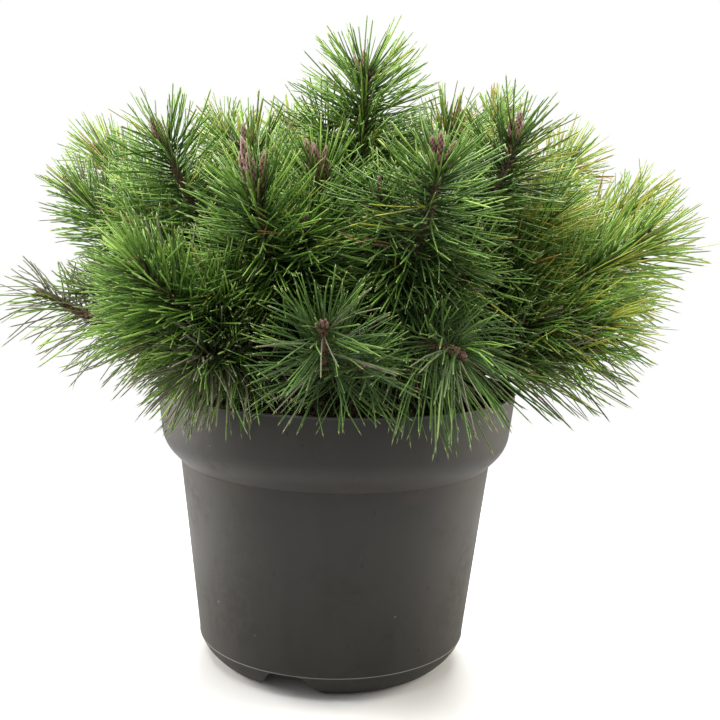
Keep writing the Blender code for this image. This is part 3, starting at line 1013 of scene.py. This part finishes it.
class PINE_OT_pot(Builder, bpy.types.Operator):
    """The pot: a turned wall with a stepped collar and a rounded lip, and drain channels"""

    bl_idname = "pine.pot"
    bl_label = "Pot"

    def execute(self, context):
        settings = self.settings(context).pot
        rim, top = POT_HIGH.x, POT_HIGH.z
        seam = settings.channel_height + 0.0002
        base_top = settings.channel_height + 0.002
        lip = settings.lip_width
        collar = settings.collar_foot
        # Each corner's radius, height and rounding: the foot, the moulding line, the wall and
        # collar, the lip, and back down inside to the base
        corners = np.array([
            (0.002, 0, 0), (settings.foot_radius + 0.0035, 0, 0.0045), (0.0842, 0.0090, 0.005),
            (0.0870, seam - 0.0005, 0.0002), (0.08725, seam, 0.0002),
            (0.0870, seam + 0.0005, 0.0002),
            (0.1002, collar, 0.0004), (0.1112, collar + 0.0118, 0.0080),
            (rim, top, 0.0009), (rim - lip, top, 0.0009),
            (0.1090, collar + 0.0135, 0.006), (0.0979, collar + 0.0020, 0.0015),
            (0.0850, base_top, 0.002), (0.002, base_top, 0),
        ])
        profile = rounded(corners[:, :2], corners[:, 2])
        finish = plastic_finish(settings, seam)
        pot = new_piece("pot_moulding", turned(profile, around=160), (finish,))
        cut_away(pot, channel_cutter(
            "channels", settings.channel_height, CHANNEL_BEARINGS,
            half_low=0.020, half_high=0.0105, inner=0.034, outer=0.110,
        ))
        cut_away(pot, drill(
            "holes", CHANNEL_BEARINGS, ring=0.062, radius=0.004, low=0.010, high=base_top + 0.001,
        ))
        pot.data.shade_smooth()
        pot.data.set_sharp_from_angle(angle=radians(32))
        self.finish_piece(pot, "pot_plastic", "pot")
        return {"FINISHED"}


class PINE_OT_peat(Builder, bpy.types.Operator):
    """The peat: its uneven surface, the crumbs on it and the dead needles fallen on it"""

    bl_idname = "pine.peat"
    bl_label = "Peat"

    def execute(self, context):
        everything = self.settings(context)
        settings = everything.peat
        finish = peat_finish(settings)
        self.ground(finish)
        self.crumbs(settings, finish)
        self.fallen(settings, everything.growth)
        return {"FINISHED"}

    def ground(self, finish):
        """Rings out to the wall at heights from surface(), then rings of given radii and
        heights down the wall's inside to a floor."""
        count = 70
        below = np.array(((0.1070, 0.1450), (0.0995, 0.1300), (0.0860, 0.0190)))
        radius = np.concatenate((np.linspace(0.001, PEAT_EDGE, count), below[:, 0]))
        height = np.concatenate((np.zeros(count), below[:, 1]))
        rows = level_rings(radius, height, around=140)
        rows[:count, :, 2] = surface(rows[:count, :, 0], rows[:count, :, 1])
        first = (0, 0, rows[0, :, 2].mean())
        points, quads, fans = closed_grid(rows, first, (0, 0, below[-1, 1]))
        peat = new_piece("peat_surface", (points, quads[:, ::-1], fans[:, ::-1]), (finish,))
        self.finish_piece(peat, "peat", "soil")

    def crumbs(self, settings, finish):
        """Lumps with twelve corners, each an uneven icosahedron turned at random, and turned
        back where that mirrors it. They lie in the surface to half their height."""
        draw = np.random.default_rng(CRUMB_SEED)
        count = settings.crumbs
        points, faces = icosahedron()
        shape = points[None] * draw.uniform(0.65, 1.25, (count, len(points), 1))
        shape = shape * draw.uniform(0.5, 1.4, (count, 1, 3))
        turn = draw.normal(size=(count, 3, 3))
        turn = np.linalg.qr(turn)[0]
        shape = np.einsum("nij,nkj->nki", turn, shape)
        inside_out = np.linalg.det(turn) < 0
        shape[inside_out] *= -1
        shape = shape * (0.0007 + 0.0022 * draw.uniform(0, 1, (count, 1, 1)) ** 3)
        x, y = random_spots(draw, count, CRUMB_REACH)
        shape = shape + np.stack((x, y, surface(x, y)), axis=-1)[:, None]
        start = (np.arange(count) * len(points))[:, None, None]
        crumbs = new_piece(
            "peat_crumbs", (shape.reshape(-1, 3), (faces + start).reshape(-1, 3)), (finish,),
        )
        self.finish_piece(crumbs, "peat")

    def fallen(self, settings, growth):
        """Dead needles in pairs that part a little from one spot, lying almost level in two
        colours. One whose tip would reach the wall is shorter."""
        draw = np.random.default_rng(LITTER_SEED)
        count = settings.fallen * 2
        spots = random_spots(draw, count // 2, LITTER_START)
        x, y = (np.repeat(values, 2) for values in spots)
        turn = np.repeat(draw.uniform(0, 2 * pi, count // 2), 2) + draw.normal(0, 0.15, count)
        length = growth.needle_length * draw.uniform(0.5, 0.9, count)
        out = np.stack((np.cos(turn), np.sin(turn), draw.uniform(-0.01, 0.05, count)), axis=-1)
        tip_radius = np.hypot(x + out[:, 0] * length, y + out[:, 1] * length)
        length = np.where(tip_radius > LITTER_END, length * 0.4, length)
        above_peat = 0.0018
        base = np.stack((x, y, surface(x, y) + above_peat), axis=-1)
        side = unit(np.cross(out, (0, 0, 1)))
        bend = side * (length * draw.normal(0, 0.08, count))[:, None]
        width = np.full(count, growth.needle_width)
        tone = np.repeat(draw.integers(0, 2, count // 2), 2)
        litter = Needles(base, unit(out), bend, side, length, width, tone, tone)
        shape, coats = needle_shapes(litter)
        rust = plain_finish("fallen_rust", (0.180, 0.075, 0.030), 0.6)
        straw = plain_finish("fallen_straw", (0.330, 0.210, 0.095), 0.6)
        fallen = new_piece("fallen_needles", shape, (rust, straw), np.clip(coats, 0, 1))
        self.finish_piece(fallen, "needles")


def surface(x, y):
    """The height of the peat: level, with lumps of three sizes, raised round the stem and
    sunk along the wall."""
    spot = np.stack((x, y, 0 * x), axis=-1)
    radius = np.hypot(x, y)
    lumps = waves(spot, 0.030, 1) * 0.0012 + waves(spot, 0.009, 2) * 0.0007
    lumps = lumps + waves(spot, 0.0035, 3) * 0.0004
    mound = 0.0035 * np.exp(-((radius / 0.026) ** 2))
    sunk = 0.0030 * np.clip((radius - 0.085) / 0.024, 0, 1) ** 2
    return PEAT_HIGH.z - 0.0012 + lumps + mound - sunk


def random_spots(draw, count, radius):
    """Places spread evenly over a disc: the radius grows as the root of an even draw."""
    reach = radius * np.sqrt(draw.uniform(0.02, 1, count))
    turn = draw.uniform(0, 2 * pi, count)
    return reach * np.cos(turn), reach * np.sin(turn)


def icosahedron():
    """Twelve corners: two poles and two rings of five turned against each other."""
    ring = even_turns(5)
    height, width = 5 ** -0.5, 2 * 5 ** -0.5
    upper = np.stack((width * np.cos(ring), width * np.sin(ring), 0 * ring + height), axis=-1)
    points = np.concatenate((upper, -upper, [(0, 0, 1)], [(0, 0, -1)]))
    here = np.arange(5)
    after = (here + 1) % 5
    facing = (here + 3) % 5 + 5
    next_facing = (after + 3) % 5 + 5
    faces = np.concatenate((
        np.stack((here, after, np.full(5, 10)), axis=-1),
        np.stack((after, here, facing), axis=-1),
        np.stack((after, facing, next_facing), axis=-1),
        np.stack((next_facing, facing, np.full(5, 11)), axis=-1),
    ))
    return points, faces


class PINE_OT_limbs(Builder, bpy.types.Operator):
    """The trunk with its root flare, the boughs and the branches, all in scaly bark"""

    bl_idname = "pine.limbs"
    bl_label = "Limbs"

    def execute(self, context):
        settings = self.settings(context).growth
        finish = bark_finish(settings)
        lines = limb_lines()
        self.trunk(lines["trunk"], finish)
        self.group("boughs_bark", "bough", BOUGH_RADII, lines, finish)
        self.group("branches_bark", "branch", BRANCH_RADII, lines, finish)
        return {"FINISHED"}

    def trunk(self, line, finish):
        """The stem, whose foot spreads into root ridges: the radius grows by a few waves
        round the stem that fade with the height."""
        rooted, root_radius = np.array((0, 0, 0.006)), 0.0155
        line = np.concatenate((line[:1] - rooted, line))
        (points, quads, fans), _ = stem_surface(
            line, (root_radius, *TRUNK_RADII),
            around=40, spacing=0.0013, relief=0.07, scale_size=0.0042, seed=11,
        )
        height = points[:, 2] - PEAT_HIGH.z
        turn = np.arctan2(points[:, 1], points[:, 0])
        ridge = 1 + 0.16 * np.cos(5 * turn + 0.7) * np.exp(-np.maximum(height, 0) / 0.007)
        near_foot = (height < 0.03)[:, None]
        points[:, :2] = np.where(near_foot, points[:, :2] * ridge[:, None], points[:, :2])
        trunk = new_piece("trunk_bark", (points, quads, fans), (finish,))
        self.finish_piece(trunk, "bark", "trunk")

    def group(self, name, limb, radii, lines, finish):
        """One piece of all limbs of a kind, each a bark tube along its own line."""
        grown = [shoot for shoot in SHOOTS if shoot.limb == limb]
        shapes = [
            stem_surface(
                lines[shoot.name], radii,
                around=18, spacing=0.0014, relief=0.10, scale_size=0.0030, seed=number,
            )[0]
            for number, shoot in enumerate(grown)
        ]
        piece = new_piece(name, join_shapes(shapes), (finish,))
        nodes = [f"{limb}_{shoot.name}" for shoot in grown]
        self.finish_piece(piece, "bark", *nodes)


def grow(settings):
    """Every stem of the crown past its limb: (stem, its random draws) in a fixed order."""
    ends = {
        "trunk": TRUNK_RADII[-1], "bough": BOUGH_RADII[1],
        "branch": BRANCH_RADII[1], "twig": BRANCH_RADII[1],
    }
    lines = limb_lines()
    lines[LEADER.name] = lines["trunk"]
    grown = []
    for number, shoot in enumerate(SHOOTS):
        draw = np.random.default_rng([settings.seed, number])
        stem = main_stem(shoot, lines[shoot.name], ends[shoot.limb])
        grown.append((stem, draw))
        grown.extend((side, draw) for side in side_stems(stem, settings.side_spacing, draw))
    return grown


class PINE_OT_crown(Builder, bpy.types.Operator):
    """The crown: twigs, needles and buds grown on from the limbs by a seeded rule"""

    bl_idname = "pine.crown"
    bl_label = "Crown"

    def execute(self, context):
        settings = self.settings(context).growth
        grown = grow(settings)
        self.twigs([stem for stem, _ in grown])
        self.needles(grown, settings)
        self.buds([stem for stem, _ in grown], settings)
        return {"FINISHED"}

    def twigs(self, stems):
        """The stems in the needles, each in one of three plain browns, with a paler one on its
        scales."""
        browns = [
            plain_finish("twig_umber", (0.058, 0.030, 0.015), 0.8),
            plain_finish("twig_rust", (0.074, 0.036, 0.018), 0.8),
            plain_finish("twig_grey", (0.080, 0.056, 0.036), 0.85),
            plain_finish("twig_scale", (0.150, 0.094, 0.058), 0.8),
        ]
        on_scale, scale_edge = 3, 0.86
        lines = limb_lines()
        tubes = [
            stem_surface(
                lines[shoot.name], BRANCH_RADII,
                around=12, spacing=0.002, relief=0.10, scale_size=0.003, seed=60 + number,
            )
            for number, shoot in enumerate(shoot for shoot in SHOOTS if shoot.limb == "twig")
        ]
        for number, stem in enumerate(stems):
            around, spacing = (14, 0.0011) if stem.vigour == 1 else (8, 0.0020)
            tubes.append(stem_surface(
                stem.points, stem.radii, around, spacing,
                relief=0.34, scale_size=0.0034, seed=number,
            ))
        shapes, heights = zip(*tubes)
        brown = [number * 7 % 3 for number in range(len(tubes))]
        coats = [
            np.where(raised > scale_edge, on_scale, tint) for raised, tint in zip(heights, brown)
        ]
        coats += [np.full(len(shape[2]), tint) for shape, tint in zip(shapes, brown)]
        twigs = new_piece("twigs", join_shapes(shapes), browns, np.concatenate(coats))
        self.finish_piece(twigs, "bark")

    def needles(self, grown, settings):
        """A piece of needles for each mass, whose solid it stands for."""
        finishes = [
            plain_finish(name, colour, 0.48) for name, colour in NEEDLE_COLOURS.items()
        ]
        for shoot in SHOOTS:
            tufts = [
                needles_on(stem, settings, draw) for stem, draw in grown if stem.shoot is shoot
            ]
            every = Needles(*(np.concatenate(values) for values in zip(*tufts)))
            shape, coats = needle_shapes(every)
            piece = new_piece("needles_" + shoot.name, shape, finishes, coats)
            self.finish_piece(piece, "needles", "foliage_" + shoot.name)

    def buds(self, stems, settings):
        """A bud at every tip, and on a main shoot two to four shorter ones round it, which
        start a little apart from it and lean out."""
        scale = plain_finish("bud_scale", (0.105, 0.046, 0.028), 0.6)
        resin = plain_finish("bud_resin", (0.270, 0.172, 0.135), 0.5)
        draw = np.random.default_rng(settings.seed + 1)
        shapes, resinous = [], []
        for stem in stems:
            main = stem.vigour == 1
            tip, heading = along_path(stem.points, np.array([path_length(stem.points)]))
            side, other = round_frame(heading)
            count = int(draw.integers(3, 6)) if main else 1
            whole = settings.bud_length * BUD_SIZES.get(stem.shoot.name, 1)
            apart = min(whole * 0.17, 0.0030)
            for number in range(count):
                turn = number * 2 * pi / max(count - 1, 1) + draw.normal(0, 0.3)
                outward = side[0] * cos(turn) + other[0] * sin(turn)
                middle = number == 0
                lean = draw.uniform(0.02, 0.10) if middle else draw.uniform(0.12, 0.34)
                length = whole * draw.uniform(0.8, 1.15)
                length *= (1 if middle else draw.uniform(0.60, 0.92)) * (1 if main else 0.55)
                radius = length * 0.080 + 0.0006
                axis = unit(heading[0] + outward * lean)
                base = tip[0] - heading[0] * 0.003 + outward * (0 if middle else apart)
                shape, on_edge = bud_shape(base, axis, length, radius, draw.uniform(0, 6))
                shapes.append(shape)
                resinous.append(on_edge)
        quad_counts = [len(shape[1]) for shape in shapes]
        coats = [edge[:count] for edge, count in zip(resinous, quad_counts)]
        coats += [edge[count:] for edge, count in zip(resinous, quad_counts)]
        buds = new_piece("buds", join_shapes(shapes), (scale, resin), np.concatenate(coats))
        self.finish_piece(buds, "bark")


def put_up(name, data, axes, place):
    """A lamp or camera at a place, with its own X, Y and Z along three axes."""
    aim = np.eye(4)
    aim[:3, :3] = np.stack(axes, axis=-1)
    aim[:3, 3] = place
    made = bpy.data.objects.new(name, data)
    bpy.context.scene.collection.objects.link(made)
    made.matrix_world = Matrix(aim)
    return made


class PINE_OT_stage(Builder, bpy.types.Operator):
    """The stage: a pale floor, white surroundings, soft lamps and the camera"""

    bl_idname = "pine.stage"
    bl_label = "Stage"

    def execute(self, context):
        settings = self.settings(context).stage
        self.floor(settings)
        self.world(context)
        self.lamps()
        self.camera(context, settings)
        context.scene.view_settings.view_transform = "Standard"
        return {"FINISHED"}

    def floor(self, settings):
        """A large disc that fades into the white surroundings: its Transparent share grows
        with the distance from the pot."""
        finish = Finish("floor", settings.floor, 0.6)
        x, y = finish.axis("X"), finish.axis("Y")
        away = (x * x + y * y) ** 0.5
        clear = finish.node("ShaderNodeBsdfTransparent", {}, {})
        faded = finish.node(
            "ShaderNodeMixShader", {},
            {0: away.between(0.12, 0.62), 1: finish.shader.outputs[0], 2: clear.outputs[0]},
        )
        output = finish.tree.nodes["Material Output"]
        finish.tree.links.new(faded.outputs[0], output.inputs["Surface"])
        radius, around = np.linspace(0.05, 1.4, 12), 96
        rows = level_rings(radius, 0 * radius + FLOOR_LEVEL, around)
        points, quads, fans = closed_grid(rows, (0, 0, FLOOR_LEVEL), (0, 0, FLOOR_LEVEL))
        shape = (points, quads[:, ::-1], fans[:around, ::-1])
        floor = new_piece("floor", shape, (finish.material,))

    def world(self, context):
        """White behind everything that the camera sees, and a softer light on the object."""
        lit, seen = 0.54, 1.0
        world = bpy.data.worlds.new("surroundings")
        world.use_nodes = True
        tree = world.node_tree
        background = tree.nodes["Background"]
        path = tree.nodes.new("ShaderNodeLightPath")
        strength = tree.nodes.new("ShaderNodeMapRange")
        strength.inputs["To Min"].default_value = lit
        strength.inputs["To Max"].default_value = seen
        tree.links.new(path.outputs["Is Camera Ray"], strength.inputs[0])
        tree.links.new(strength.outputs[0], background.inputs["Strength"])
        background.inputs["Color"].default_value = (1, 1, 1, 1)
        context.scene.world = world

    def lamps(self):
        """Large soft lamps round the crown, each turned to its middle. The rows hold their
        names, bearings, lifts, distances, sizes, powers and colours."""
        middle = np.array((0, 0, 0.22))
        for name, bearing, lift, distance, size, power, colour in (
            ("left_lamp", -108, 6, 1.3, 0.9, 30, (1.0, 0.95, 0.88)),
            ("right_lamp", 106, 6, 1.3, 0.9, 23, (1.0, 0.91, 0.78)),
            ("top_lamp", -40, 74, 1.4, 0.9, 38, (1.0, 1.0, 1.0)),
            ("back_lamp", 170, 42, 1.5, 1.2, 38, (1.0, 1.0, 1.0)),
        ):
            data = bpy.data.lights.new(name, "AREA")
            data.shape, data.size, data.energy = "DISK", size, power
            data.color = colour
            away = direction(bearing, lift)
            side, up = round_frame(away)
            put_up(name, data, (side, up, away), middle + away * distance)

    def camera(self, context, settings):
        """Looks along +Y, turned right by the yaw, then down by the pitch, then rolled."""
        yaw, pitch, roll = settings.yaw, settings.pitch, settings.roll
        level = np.array((sin(yaw), cos(yaw), 0))
        right = np.array((cos(yaw), -sin(yaw), 0))
        forward = level * cos(pitch) - np.array((0, 0, 1)) * sin(pitch)
        up = np.array((0, 0, 1)) * cos(pitch) + level * sin(pitch)
        leaning_right = right * cos(roll) + up * sin(roll)
        leaning_up = up * cos(roll) - right * sin(roll)
        data = bpy.data.cameras.new("camera")
        data.lens, data.sensor_width = settings.lens, 36
        data.clip_start, data.clip_end = 0.02, 50
        place = (0, -settings.camera_distance, settings.camera_height)
        axes = (leaning_right, leaning_up, -forward)
        context.scene.camera = put_up("camera", data, axes, place)


class PottedPineSettings(bpy.types.PropertyGroup):
    pot: PointerProperty(type=PotSettings)
    peat: PointerProperty(type=PeatSettings)
    growth: PointerProperty(type=GrowthSettings)
    stage: PointerProperty(type=StageSettings)


OPERATORS = (PINE_OT_stage, PINE_OT_pot, PINE_OT_peat, PINE_OT_limbs, PINE_OT_crown)


class PINE_PT_panel(bpy.types.Panel):
    """Lists the pieces of the potted pine"""

    bl_label = "Potted Pine"
    bl_idname = "PINE_PT_panel"
    bl_space_type = "VIEW_3D"
    bl_region_type = "UI"
    bl_category = "Pine"

    def draw(self, context):
        for operator in OPERATORS:
            self.layout.operator(operator.bl_idname)


CLASSES = (
    PotSettings, PeatSettings, GrowthSettings, StageSettings, PottedPineSettings,
    *OPERATORS, PINE_PT_panel,
)


def register():
    for made in CLASSES:
        bpy.utils.register_class(made)
    bpy.types.Scene.potted_pine = PointerProperty(type=PottedPineSettings)


def unregister():
    del bpy.types.Scene.potted_pine
    for made in reversed(CLASSES):
        bpy.utils.unregister_class(made)


def main():
    register()
    for operator in ("stage", "pot", "peat", "limbs", "crown"):
        getattr(bpy.ops.pine, operator)()
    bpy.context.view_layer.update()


if __name__ == "__main__":
    main()
